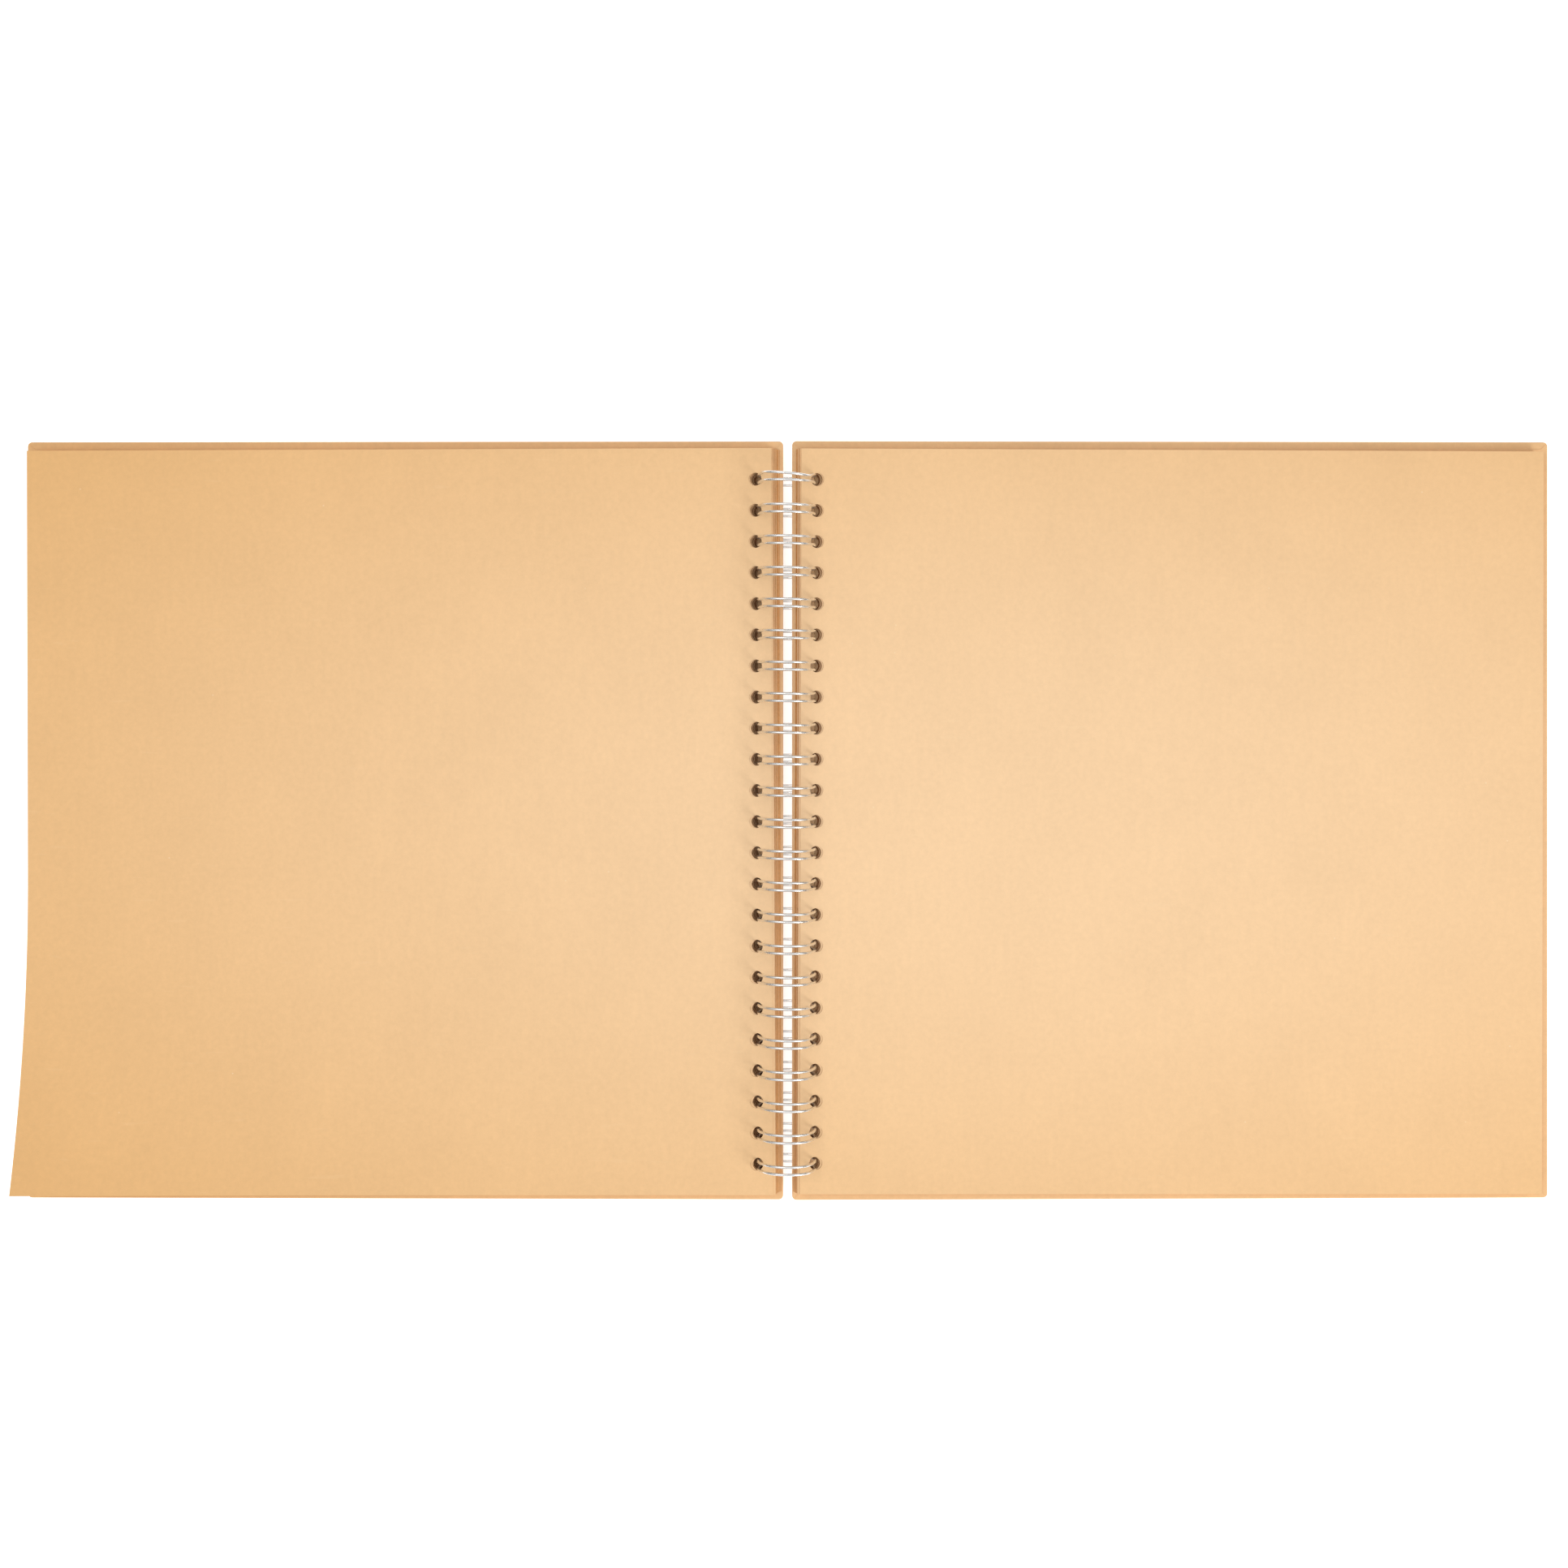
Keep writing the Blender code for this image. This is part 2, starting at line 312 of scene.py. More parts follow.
def make_paper(name, slot, warm, painted_lit_colour, roughness, depth=1.0):
    """Kraft paper: a painted pool of light that pales it round a point, cloudy mottling, a faint grain
    along the wire, short fibres and a few flecks.
    """
    material, nodes, shader = new_material(name, slot)
    place = nodes.add("ShaderNodeTexCoord").outputs["Object"]
    stretched = nodes.add("ShaderNodeVectorMath", operation="MULTIPLY")
    nodes.link(place, stretched.inputs[0])
    stretched.inputs[1].default_value = PAINTED_LIGHT_STRETCH
    distance = nodes.add("ShaderNodeVectorMath", operation="DISTANCE")
    nodes.link(stretched.outputs["Vector"], distance.inputs[0])
    distance.inputs[1].default_value = Vector(PAINTED_LIGHT_MIDDLE) * PAINTED_LIGHT_STRETCH
    # painted light: the colour fades from the painted lit tone round a point to the warm tone away from it
    outwards = nodes.remap(distance.outputs["Value"], *PAINTED_LIGHT_REACH, 0.0, 1.0, smooth=True)
    colour = nodes.mix(outwards, painted_lit_colour, warm)
    cloud_noise = nodes.noise(place, CLOUD_SCALE, 3.0)
    clouds = nodes.remap(cloud_noise, 0.3, 0.7, 1.0 - 0.018 * depth, 1.0 + 0.018 * depth)
    mottle_noise = nodes.noise(place, MOTTLE_SCALE, 5.0, 0.7)
    mottle = nodes.remap(mottle_noise, 0.3, 0.7, 1.0 - 0.035 * depth, 1.0 + 0.030 * depth)
    grain_noise = nodes.noise(place, GRAIN_SCALE, 4.0, 0.65, (1.0, 0.14, 1.0))
    grain = nodes.remap(grain_noise, 0.3, 0.7, 1.0 - 0.010 * depth, 1.0 + 0.010 * depth)
    colour = nodes.scaled(colour, clouds, mottle, grain)
    fibre_noise = nodes.noise(place, FIBRE_SCALE, 2.0, 0.5, (0.22, 1.6, 1.0))
    fibres = nodes.remap(fibre_noise, 0.66, 0.76, 0.0, 0.06 * depth, smooth=True)
    colour = nodes.mix(fibres, colour, FIBRE)
    light_flecks = nodes.math("MULTIPLY", specks(nodes, place, *PALE_FLECKS), 0.30)
    colour = nodes.mix(light_flecks, colour, PALE_FLECK)
    dark_flecks = nodes.math("MULTIPLY", specks(nodes, place, *DARK_FLECKS), 0.75)
    colour = nodes.mix(dark_flecks, colour, DARK_FLECK)
    nodes.link(colour, shader.inputs["Base Color"])
    rough = nodes.remap(grain_noise, 0.3, 0.7, roughness - 0.05, roughness + 0.05)
    nodes.link(rough, shader.inputs["Roughness"])
    shader.inputs["Specular IOR Level"].default_value = 0.25
    bump = nodes.add("ShaderNodeBump")
    bump.inputs["Strength"].default_value = 0.22
    bump.inputs["Distance"].default_value = 0.00006
    height = nodes.math("ADD", nodes.noise(place, TOOTH_SCALE, 3.0), grain_noise)
    nodes.link(height, bump.inputs["Height"])
    nodes.link(bump.outputs["Normal"], shader.inputs["Normal"])
    return material


def make_cut_edge(name, tint):
    """Cut paper seen edge-on, darker than its faces and slightly fuzzy; the tint for the hole walls is
    darker still, as painted shade.
    """
    material, nodes, shader = new_material(name, "kraft_sheet")
    place = nodes.add("ShaderNodeTexCoord").outputs["Object"]
    shade = nodes.remap(nodes.noise(place, FUZZ_SCALE, 4.0, 0.7), 0.3, 0.7, 0.82, 1.12)
    colour = nodes.add("ShaderNodeRGB").outputs["Color"]
    colour.default_value = (*tint, 1.0)
    nodes.link(nodes.scaled(colour, shade), shader.inputs["Base Color"])
    shader.inputs["Roughness"].default_value = 0.95
    shader.inputs["Specular IOR Level"].default_value = 0.15
    return material


def make_board():
    """Dense grey board with the blots and fibres of recycled pulp."""
    material, nodes, shader = new_material("pulp_board", "grey_board")
    place = nodes.add("ShaderNodeTexCoord").outputs["Object"]
    blots = nodes.remap(nodes.noise(place, BLOT_SCALE, 6.0, 0.75), 0.3, 0.7, 0.75, 1.25)
    colour = nodes.add("ShaderNodeRGB").outputs["Color"]
    colour.default_value = (*BOARD_GREY, 1.0)
    nodes.link(nodes.scaled(colour, blots), shader.inputs["Base Color"])
    shader.inputs["Roughness"].default_value = 0.95
    return material


def make_steel():
    """Drawn steel wire with a satin coat: fine marks along its length and soft dull patches."""
    material, nodes, shader = new_material("satin_wire", "satin_steel")
    place = nodes.add("ShaderNodeTexCoord").outputs["Object"]
    shader.inputs["Base Color"].default_value = (*STEEL, 1.0)
    shader.inputs["Metallic"].default_value = 1.0
    patches = nodes.noise(place, PATCH_SCALE, 3.0)
    marks = nodes.noise(place, DRAW_MARK_SCALE, 4.0, 0.7, (0.3, 3.0, 0.3))
    rough = nodes.remap(nodes.math("ADD", patches, marks), 0.7, 1.3, 0.20, 0.36)
    nodes.link(rough, shader.inputs["Roughness"])
    bump = nodes.add("ShaderNodeBump")
    bump.inputs["Strength"].default_value = 0.10
    bump.inputs["Distance"].default_value = 0.00002
    nodes.link(marks, bump.inputs["Height"])
    nodes.link(bump.outputs["Normal"], shader.inputs["Normal"])
    return material


# ---------------------------------------------------------------- shapes


def ring_reach(height):
    """How far from the axis, sideways, the wire's centre line is at a height above the axis."""
    return math.sqrt(RING_RADIUS ** 2 - height ** 2)


def hole_rows():
    """The place along the wire of each punched hole, from the tail to the head."""
    first = -0.5 * (HOLE_COUNT - 1) * HOLE_PITCH
    return [first + i * HOLE_PITCH for i in range(HOLE_COUNT)]


def cover_floor(hole_offset):
    """The height of a cover's outer face: the wire fills its straight holes evenly, low and high."""
    low, high = -RING_RADIUS, 0.0
    for _ in range(BISECTIONS):
        middle = 0.5 * (low + high)
        reach = 0.5 * (ring_reach(middle) + ring_reach(min(middle + COVER_THICKNESS, 0.0)))
        if reach < hole_offset:
            low = middle
        else:
            high = middle
    return middle


def half_matrix(edge_offset, floor, side):
    """Takes a half's flat frame, on the wire's axis, to the row frame, its outer edge on the table."""
    reach = edge_offset + COVER_SIDE
    tilt = math.asin(AXIS_HEIGHT / math.hypot(reach, floor)) - math.atan2(-floor, reach)
    turn = Matrix.Rotation(side * tilt, 4, "Y")
    return Matrix.Translation((0.0, 0.0, AXIS_HEIGHT)) @ turn


def circle(along, steps, radius=HOLE_RADIUS):
    turns = [2 * math.pi * k / steps for k in range(steps)]
    return [(radius * math.cos(t), along + radius * math.sin(t)) for t in turns]


def rectangle(near, far, half):
    return [(near, -half), (far, -half), (far, half), (near, half)]


def rounded_rectangle(near, far, half, radius):
    """A rectangle with round corners, counter-clockwise from the near tail corner."""
    centres = [
        (near + radius, -half + radius, 180.0),
        (far - radius, -half + radius, 270.0),
        (far - radius, half - radius, 0.0),
        (near + radius, half - radius, 90.0),
    ]
    points = []
    for x, y, start in centres:
        for turn in CORNER_TURNS:
            angle = math.radians(start + turn)
            points.append((x + radius * math.cos(angle), y + radius * math.sin(angle)))
    return points


def flat_triangles(outlines):
    """Triangles over the first outline, open inside the others, as indices into their points."""
    return tessellate_polygon([[Vector((x, y, 0.0)) for x, y in outline] for outline in outlines])


def fill(mesh, outlines, loops, material=0):
    flat = [v for loop in loops for v in loop]
    for corners in flat_triangles(outlines):
        mesh.faces.new([flat[i] for i in corners]).material_index = material


def wall(mesh, low, high, material=0):
    for i in range(len(low)):
        j = (i + 1) % len(low)
        mesh.faces.new((low[i], low[j], high[j], high[i])).material_index = material


def add_loop(mesh, outline, height, place):
    """A closed loop of vertices; place turns (out, along, height) into a point."""
    return [mesh.verts.new(place(x, y, height)) for x, y in outline]


def make_piece(mesh, name, materials, body, stands_for, smooth=False):
    """A finished piece that rides on a body and stands for its CAD node."""
    bmesh.ops.recalc_face_normals(mesh, faces=mesh.faces)
    data = bpy.data.meshes.new(name)
    mesh.to_mesh(data)
    mesh.free()
    for material in materials:
        data.materials.append(material)
    item = bpy.data.objects.new(name, data)
    bpy.context.scene.collection.objects.link(item)
    if smooth:
        data.shade_smooth()
        data.set_sharp_from_angle(angle=math.radians(35.0))
    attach(item, body)
    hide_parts(stands_for)
    return item


def placer(matrix, side, slide_low, slide_high, low, high, yaw=0.0):
    """Turns a layer's (out, along, height) into a point, slid out along the wire's curve."""

    def place(out, along, height):
        share = (height - low) / (high - low)
        slide = slide_low + share * (slide_high - slide_low)
        return matrix @ Vector((side * (out + yaw * along + slide), along - yaw * out, height))

    return place


def add_plate(mesh, outline, steps, low, high, place):
    """A flat layer with the row of round holes; its rim and holes take the second and third materials."""
    outlines = [outline] + [circle(y, steps) for y in hole_rows()]
    bottom = [add_loop(mesh, o, low, place) for o in outlines]
    top = [add_loop(mesh, o, high, place) for o in outlines]
    fill(mesh, outlines, bottom)
    fill(mesh, outlines, top)
    wall(mesh, bottom[0], top[0], 1)
    for below, above in zip(bottom[1:], top[1:]):
        wall(mesh, below, above, 2)


# ---------------------------------------------------------------- covers


def edge_profile(low, high):
    """(inset, height) along the outside of a wrapped edge, rounded at both its corners."""
    turns = [0.5 * math.pi * k / EDGE_STEPS for k in range(EDGE_STEPS + 1)]
    under = [(EDGE_RADIUS * (1 - math.sin(t)), low + EDGE_RADIUS * (1 - math.cos(t))) for t in turns]
    over = [(inset, low + high - height) for inset, height in reversed(under)]
    return under + over


def add_mitred_band(mesh, outer, window, holes, hole_loops, outlines):
    """The turn-ins' upper faces: four strips that leave an open mitre at each corner.

    outer and window are loops of vertices, and outlines their flat outlines. The strip nearest the
    spine also has the holes. Returns the four mitres, each as its four corner vertices.
    """
    outer_flat, window_flat = outlines
    count = len(CORNER_TURNS)
    before = CORNER_TURNS.index(MITRE_TURNS[0])
    after = before + 1
    mitres = []
    for corner in range(4):
        following = (corner + 1) % 4
        indices = list(range(corner * count + after, (corner + 1) * count))
        indices += list(range(following * count, following * count + before + 1))
        strip = [outer[i] for i in indices] + [window[2 * following], window[2 * corner + 1]]
        flat = [outer_flat[i] for i in indices]
        flat += [window_flat[2 * following], window_flat[2 * corner + 1]]
        punched = holes if corner == 3 else []
        fill(mesh, [flat] + punched, [strip] + (hole_loops if corner == 3 else []))
        first = corner * count + before
        mitres.append((outer[first], outer[first + 1], window[2 * corner + 1], window[2 * corner]))
    return mitres


def mitred_window(near, far, half):
    """A window's outline with each corner split in two, a mitre's width apart."""
    corners = rectangle(near, far, half)
    points = []
    for i, (x, y) in enumerate(corners):
        before = corners[i - 1]
        after = corners[(i + 1) % 4]
        for other in (before, after):
            toward = Vector((other[0] - x, other[1] - y)).normalized()
            points.append((x + MITRE_HALF_WIDTH * toward.x, y + MITRE_HALF_WIDTH * toward.y))
    return points


def make_wrap(name, low, matrix, side, shift, material, body, stands_for):
    """The paper round a board: outer face, rounded edges, and mitred turn-ins round a window."""
    near = -SPINE_MARGIN
    far = near + COVER_SIDE
    half = 0.5 * COVER_SIDE
    t = WRAP_THICKNESS
    high = low + 2 * t + BOARD_THICKNESS + 2 * LAYER_GAP
    place = placer(matrix, side, shift, shift, low, high)
    mesh = bmesh.new()
    profile = edge_profile(low, high)
    outside = []
    for inset, height in profile:
        outline = rounded_rectangle(near + inset, far - inset, half - inset, CORNER_RADIUS - inset)
        outside.append((outline, add_loop(mesh, outline, height, place)))
    for (_, below), (_, above) in zip(outside, outside[1:]):
        wall(mesh, below, above)
    inside = rounded_rectangle(near + t, far - t, half - t, CORNER_RADIUS - t)
    window = mitred_window(near + TURN_IN, far - TURN_IN, half - TURN_IN)
    holes = [circle(y, HOLE_STEPS) for y in hole_rows()]

    def hole_loops(height):
        return [add_loop(mesh, o, height, place) for o in holes]

    inner_low = add_loop(mesh, inside, low + t, place)
    inner_high = add_loop(mesh, inside, high - t, place)
    window_low = add_loop(mesh, window, high - t, place)
    window_high = add_loop(mesh, window, high, place)
    sheet_low, sheet_high = hole_loops(low), hole_loops(low + t)
    flap_low, flap_high = hole_loops(high - t), hole_loops(high)
    fill(mesh, [outside[0][0]] + holes, [outside[0][1]] + sheet_low)
    fill(mesh, [inside] + holes, [inner_low] + sheet_high)
    fill(mesh, [inside, window] + holes, [inner_high, window_low] + flap_low)
    rim, rim_loop = outside[-1]
    mitres = add_mitred_band(mesh, rim_loop, window_high, holes, flap_high, (rim, window))
    wall(mesh, inner_low, inner_high)
    wall(mesh, window_low, window_high)
    for below, above in zip(sheet_low + flap_low, sheet_high + flap_high):
        wall(mesh, below, above)
    down = matrix.to_3x3() @ Vector((0.0, 0.0, -MITRE_DEPTH))
    for corners in mitres:
        floor = [mesh.verts.new(v.co + down) for v in corners]
        wall(mesh, floor, list(corners))
        mesh.faces.new(floor)
    return make_piece(mesh, name, [material], body, stands_for, smooth=True)


def make_cover(prefix, half, floor, matrix, papers):
    """A cover's wrap, board and lining."""
    side, body = half["side"], half["body"]
    shift = half["edge_offset"] + SPINE_MARGIN
    near = -SPINE_MARGIN
    far = near + COVER_SIDE
    half_side = 0.5 * COVER_SIDE
    wrap_name = prefix + "_cover_wrap"
    make_wrap(wrap_name, floor, matrix, side, shift, papers["cover"], body, prefix + "_wrap")
    inset = WRAP_THICKNESS + LAYER_GAP
    low = floor + inset
    high = low + BOARD_THICKNESS
    outline = rounded_rectangle(near + inset, far - inset, half_side - inset, CORNER_RADIUS - inset)
    mesh = bmesh.new()
    place = placer(matrix, side, shift, shift, low, high)
    add_plate(mesh, outline, HOLE_STEPS, low, high, place)
    name = prefix + "_cover_board"
    make_piece(mesh, name, [papers["board"]] * 3, body, prefix + "_board")
    inset = LINING_INSET
    low = high + 2 * LAYER_GAP + WRAP_THICKNESS
    high = low + LINING_THICKNESS
    outline = rectangle(near + inset, far - inset, half_side - inset)
    mesh = bmesh.new()
    place = placer(matrix, side, shift, shift, low, high)
    add_plate(mesh, outline, HOLE_STEPS, low, high, place)
    name = prefix + "_cover_lining"
    make_piece(mesh, name, [papers["cover"], papers["edge"], papers["hole"]], body, prefix + "_lining")
    return floor + COVER_THICKNESS


# ---------------------------------------------------------------- sheets


def sheet_placer(start, matrix, side, slide, yaw):
    low = start
    high = start + SHEET_PITCH - SHEET_GAP
    slides = [ring_reach(h) + HOLE_SLACK + slide for h in (low, high)]
    return low, high, placer(matrix, side, slides[0], slides[1], low, high, yaw)


def page_outline():
    return rectangle(-SPINE_MARGIN, PAGE_SIDE - SPINE_MARGIN, 0.5 * PAGE_SIDE)


def sheet_papers(papers):
    return [papers["sheet"], papers["edge"], papers["hole"]]


def make_bundle(name, start, count, matrix, half, papers, stands_for):
    """A few separate sheets, each a little out of line with the next."""
    mesh = bmesh.new()
    for number in range(count):
        slide = STACK_SLIDE + rng.uniform(-SHEET_WANDER, SHEET_WANDER)
        yaw = STACK_YAW + rng.uniform(-YAW_WANDER, YAW_WANDER)
        level = start + number * SHEET_PITCH
        low, high, place = sheet_placer(level, matrix, half["side"], slide, yaw)
        add_plate(mesh, page_outline(), BURIED_HOLE_STEPS, low, high, place)
    make_piece(mesh, name, sheet_papers(papers), half["body"], stands_for)


def curl(out, along):
    """How far a point of the curled sheet is lifted, drawn inwards and drawn towards the head."""
    corner_out = PAGE_SIDE - SPINE_MARGIN
    corner_along = -0.5 * PAGE_SIDE
    toward_out = math.sin(CURL_HEADING)
    toward_tail = math.cos(CURL_HEADING)
    behind = (corner_out - out) * toward_out + (along - corner_along) * toward_tail
    share = max(0.0, 1.0 - behind / CURL_LENGTH)
    lift = CURL_LIFT * share ** 2
    return lift, CURL_PULL_OUT * lift, CURL_PULL_ALONG * lift


def flat_page(out, along):
    return 0.0, 0.0, 0.0


def make_top_sheet(name, start, matrix, half, papers, stands_for, bend):
    """A sheet with a punched strip by the spine and a grid of faces over the rest, so that it bends."""
    low, high, straight = sheet_placer(start, matrix, half["side"], half["top_slide"], TOP_YAW)
    half_side = 0.5 * PAGE_SIDE
    far = PAGE_SIDE - SPINE_MARGIN
    rows = [-half_side + PAGE_SIDE * k / PAGE_CELLS for k in range(PAGE_CELLS + 1)]
    strip_edge = PUNCHED_STRIP - SPINE_MARGIN
    columns = [strip_edge + (far - strip_edge) * k / PAGE_CELLS for k in range(PAGE_CELLS + 1)]

    up = matrix.to_3x3() @ Vector((0.0, 0.0, 1.0))

    def place(out, along, height):
        lift, inwards, towards_head = bend(out, along)
        return straight(out - inwards, along + towards_head, height) + up * lift

    strip = [(-SPINE_MARGIN, -half_side)] + [(strip_edge, y) for y in rows] + [(-SPINE_MARGIN, half_side)]
    holes = [circle(y, HOLE_STEPS) for y in hole_rows()]
    mesh = bmesh.new()
    sides = []
    for height in (low, high):
        strip_loop = add_loop(mesh, strip, height, place)
        hole_loops = [add_loop(mesh, o, height, place) for o in holes]
        fill(mesh, [strip] + holes, [strip_loop] + hole_loops)
        grid = [strip_loop[1:-1]]
        for x in columns[1:]:
            grid.append([mesh.verts.new(place(x, y, height)) for y in rows])
        for near, further in zip(grid, grid[1:]):
            for i in range(PAGE_CELLS):
                mesh.faces.new((near[i], further[i], further[i + 1], near[i + 1]))
        rim = [strip_loop[0]] + [column[0] for column in grid] + grid[-1][1:]
        rim += [column[-1] for column in reversed(grid[:-1])] + [strip_loop[-1]]
        sides.append([rim] + hole_loops)
    for number, (below, above) in enumerate(zip(*sides)):
        wall(mesh, below, above, 1 if number == 0 else 2)
    body = half["stack"] + "_top_sheet"
    return make_piece(mesh, name, sheet_papers(papers), body, stands_for, smooth=True)


def make_half(prefix, papers):
    """One cover with its sheets. Returns the top sheet and the direction square to it."""
    half = HALVES[prefix]
    stack = half["stack"]
    floor = cover_floor(half["edge_offset"] + SPINE_MARGIN)
    matrix = half_matrix(half["edge_offset"], floor, half["side"])
    level = make_cover(prefix, half, floor, matrix, papers) + FIRST_SHEET_GAP
    for number, count in enumerate(half["bundles"], start=1):
        name = f"{stack}_pages_{number}"
        make_bundle(name, level, count, matrix, half, papers, f"{stack}_sheets_{number}")
        level += count * SHEET_PITCH
    bend = curl if stack == "left" else flat_page
    node = f"{stack}_top_sheet"
    item = make_top_sheet(f"{stack}_top_page", level, matrix, half, papers, node, bend)
    normal = matrix.to_3x3() @ Vector((0.0, 0.0, 1.0))
    return item, normal, matrix @ Vector((0.0, 0.0, level))


# ---------------------------------------------------------------- wire


def wire_route():
    """The wire's centre line as (angle, loop's middle, place from it, loop number)."""
    bend = ROOT_BEND_RADIUS / RING_RADIUS
    tip = 0.5 * LEG_SPACING
    leg_start = ROOT_ANGLE + bend
    leg_end = ROOT_ANGLE + 2 * math.pi - (CLOSURE_GAP + tip) / RING_RADIUS
    leg = [leg_start + (leg_end - leg_start) * k / LEG_STEPS for k in range(LEG_STEPS + 1)]
    turns = [0.5 * math.pi * k / BEND_STEPS for k in range(BEND_STEPS)]
    route = []
    for number, y in enumerate(hole_rows()):
        if number > 0:
            for turn in turns:
                across = ROOT_BEND_RADIUS * (1 - math.sin(turn))
                route.append((ROOT_ANGLE + bend * (1 - math.cos(turn)), y, -tip - across, number))
        route += [(angle, y, -tip, number) for angle in leg]
        for k in range(1, TIP_STEPS):
            turn = math.pi * k / TIP_STEPS
            route.append((leg_end + tip * math.sin(turn) / RING_RADIUS, y, -tip * math.cos(turn), number))
        route += [(angle, y, tip, number) for angle in reversed(leg)]
        if number < HOLE_COUNT - 1:
            for turn in reversed(turns):
                across = ROOT_BEND_RADIUS * (1 - math.sin(turn))
                route.append((ROOT_ANGLE + bend * (1 - math.cos(turn)), y, tip + across, number))
    return route


def smooth_step(value, low, high):
    share = min(1.0, max(0.0, (value - low) / (high - low)))
    return share * share * (3 - 2 * share)


def bent_loop(angle, offset, number, wander):
    """A point's place along the axis from its loop's middle, with the loops slightly out of line."""
    shown = smooth_step(math.sin(angle), SKEW_FROM, SKEW_FULL)
    last = number == HOLE_COUNT - 1
    skew = BENT_LOOP_SKEW if last else LOOP_SKEW + wander
    pinch = 1.0 - BENT_LOOP_PINCH * shown * (0.4 + math.cos(angle)) if last else 1.0
    return offset * pinch - skew * shown * math.cos(angle)


def make_wire(material):
    """One wire swept along its route, its section square to the way that it runs."""
    wanders = [rng.uniform(-LOOP_WANDER, LOOP_WANDER) for _ in range(HOLE_COUNT)]
    points = []
    outward = []
    for angle, middle, offset, number in wire_route():
        normal = Vector((math.cos(angle), 0.0, math.sin(angle)))
        along = middle + bent_loop(angle, offset, number, wanders[number])
        points.append(RING_RADIUS * normal + Vector((0.0, along, AXIS_HEIGHT)))
        outward.append(normal)
    mesh = bmesh.new()
    rings = []
    for i, (point, normal) in enumerate(zip(points, outward)):
        ahead = points[min(i + 1, len(points) - 1)] - point
        behind = point - points[max(i - 1, 0)]
        tangent = (ahead.normalized() + behind.normalized()).normalized()
        sideways = tangent.cross(normal).normalized()
        ring = []
        for k in range(WIRE_STEPS):
            turn = 2 * math.pi * k / WIRE_STEPS
            offset = math.cos(turn) * normal + math.sin(turn) * sideways
            ring.append(mesh.verts.new(point + WIRE_RADIUS * offset))
        rings.append(ring)
    for low, high in zip(rings, rings[1:]):
        wall(mesh, low, high)
    mesh.faces.new(rings[0])
    mesh.faces.new(rings[-1])
    return make_piece(mesh, "loop_wire", [material], "wire", "twin_loop_wire", smooth=True)


# ---------------------------------------------------------------- studio


def make_camera():
    camera = bpy.data.cameras.new("camera")
    camera.lens = CAMERA_LENS
    camera.sensor_width = 36.0
    camera.shift_x, camera.shift_y = CAMERA_SHIFT
    item = bpy.data.objects.new("camera", camera)
    bpy.context.scene.collection.objects.link(item)
    item.location = CAMERA_PLACE
    bpy.context.scene.camera = item


def make_lamp(name, place, size, power):
    lamp = bpy.data.lights.new(name, "AREA")
    lamp.size = size
    lamp.energy = power
    item = bpy.data.objects.new(name, lamp)
    bpy.context.scene.collection.objects.link(item)
    item.location = place
    item.rotation_mode = "QUATERNION"
    item.rotation_quaternion = (-Vector(place)).to_track_quat("-Z", "Y")


def make_world():
    """Soft light from all round, dimmer towards the horizon; a white backdrop behind it."""
    world = bpy.data.worlds.new("studio")
    bpy.context.scene.world = world
    world.use_nodes = True
    nodes = Nodes(world.node_tree)
    background = world.node_tree.nodes["Background"]
    axes = nodes.add("ShaderNodeSeparateXYZ")
    nodes.link(nodes.add("ShaderNodeTexCoord").outputs["Generated"], axes.inputs["Vector"])
    sky = nodes.remap(axes.outputs["Z"], *SKY_HEIGHTS, *SKY_STRENGTHS, smooth=True)
    seen = nodes.add("ShaderNodeLightPath").outputs["Is Camera Ray"]
    strength = nodes.math("MAXIMUM", sky, seen)
    nodes.link(strength, background.inputs["Strength"])
    background.inputs["Color"].default_value = (*WHITE, 1.0)


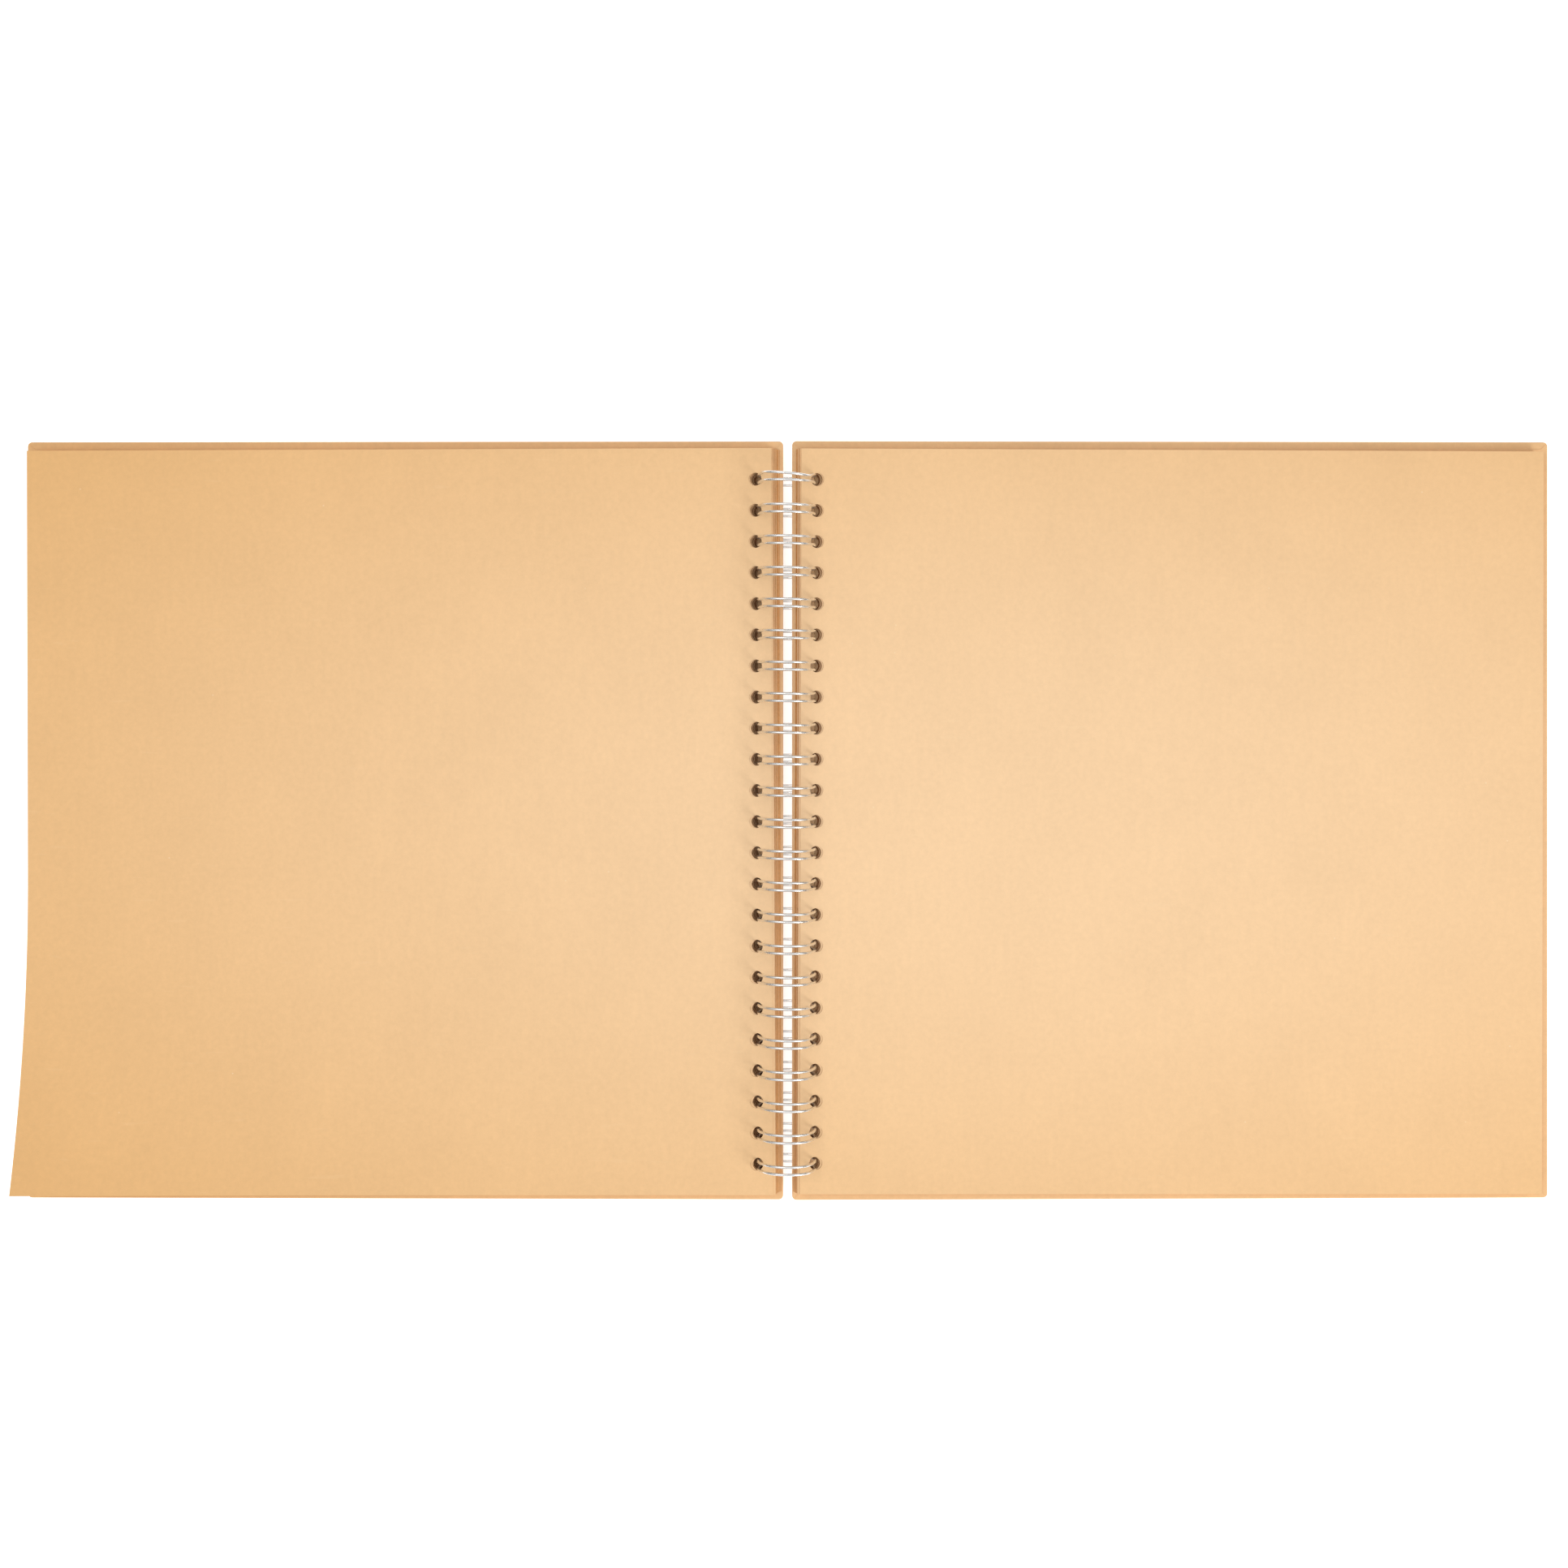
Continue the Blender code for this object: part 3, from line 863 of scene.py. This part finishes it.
def shaded_strips(nodes, place):
    """1 on the table under the two punched edges, fading to 0 in the gap between the covers."""
    split = nodes.add("ShaderNodeSeparateXYZ")
    nodes.link(place, split.inputs["Vector"])
    across = nodes.math("ABSOLUTE", split.outputs["X"], 0.0)
    along = nodes.math("ABSOLUTE", split.outputs["Y"], 0.0)
    past_gap = nodes.remap(across, *SHADE_START, 0.0, 1.0, smooth=True)
    before_end = nodes.remap(across, *SHADE_END, 1.0, 0.0, smooth=True)
    beside_wire = nodes.remap(along, *SHADE_LENGTH, 1.0, 0.0, smooth=True)
    return nodes.math("MULTIPLY", nodes.math("MULTIPLY", past_gap, before_end), beside_wire)


def make_floor():
    """A white table that glows to wash out its shadows, save right under the punched edges, which are left
    as painted shade.
    """
    bpy.ops.mesh.primitive_plane_add(size=TABLE_SIDE, location=(0.0, 0.0, -TABLE_DROP))
    floor = bpy.context.object
    floor.name = "floor"
    material = bpy.data.materials.new("white_table")
    material.use_nodes = True
    nodes = Nodes(material.node_tree)
    shader = material.node_tree.nodes["Principled BSDF"]
    shader.inputs["Base Color"].default_value = (*TABLE, 1.0)
    shader.inputs["Roughness"].default_value = 0.9
    shader.inputs["Emission Color"].default_value = (*WHITE, 1.0)
    place = nodes.add("ShaderNodeTexCoord").outputs["Object"]
    glow = nodes.remap(shaded_strips(nodes, place), 0.0, 1.0, TABLE_GLOW, 0.0)
    nodes.link(glow, shader.inputs["Emission Strength"])
    floor.data.materials.append(material)


# ---------------------------------------------------------------- the book

make_camera()
make_world()
make_floor()
make_lamp("key", *KEY_LAMP)
make_lamp("fill", *FILL_LAMP)
bpy.context.scene.view_settings.view_transform = "Standard"

PAPERS = {
    "sheet": make_paper("kraft_page", "kraft_sheet", SHEET_WARM, SHEET_PAINTED_LIGHT, 0.88),
    "cover": make_paper("kraft_wrap", "kraft_cover", COVER_WARM, COVER_PAINTED_LIGHT, 0.82, 1.3),
    "edge": make_cut_edge("sheet_cut_edge", SHEET_EDGE),
    # painted shade: the hole walls take the darker tint that stands in for the shade in the holes
    "hole": make_cut_edge("hole_wall_painted_shade", HOLE_WALL_SHADE),
    "board": make_board(),
}
make_half("back", PAPERS)
left_page, left_normal, left_level = make_half("front", PAPERS)
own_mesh(left_page)
make_wire(make_steel())
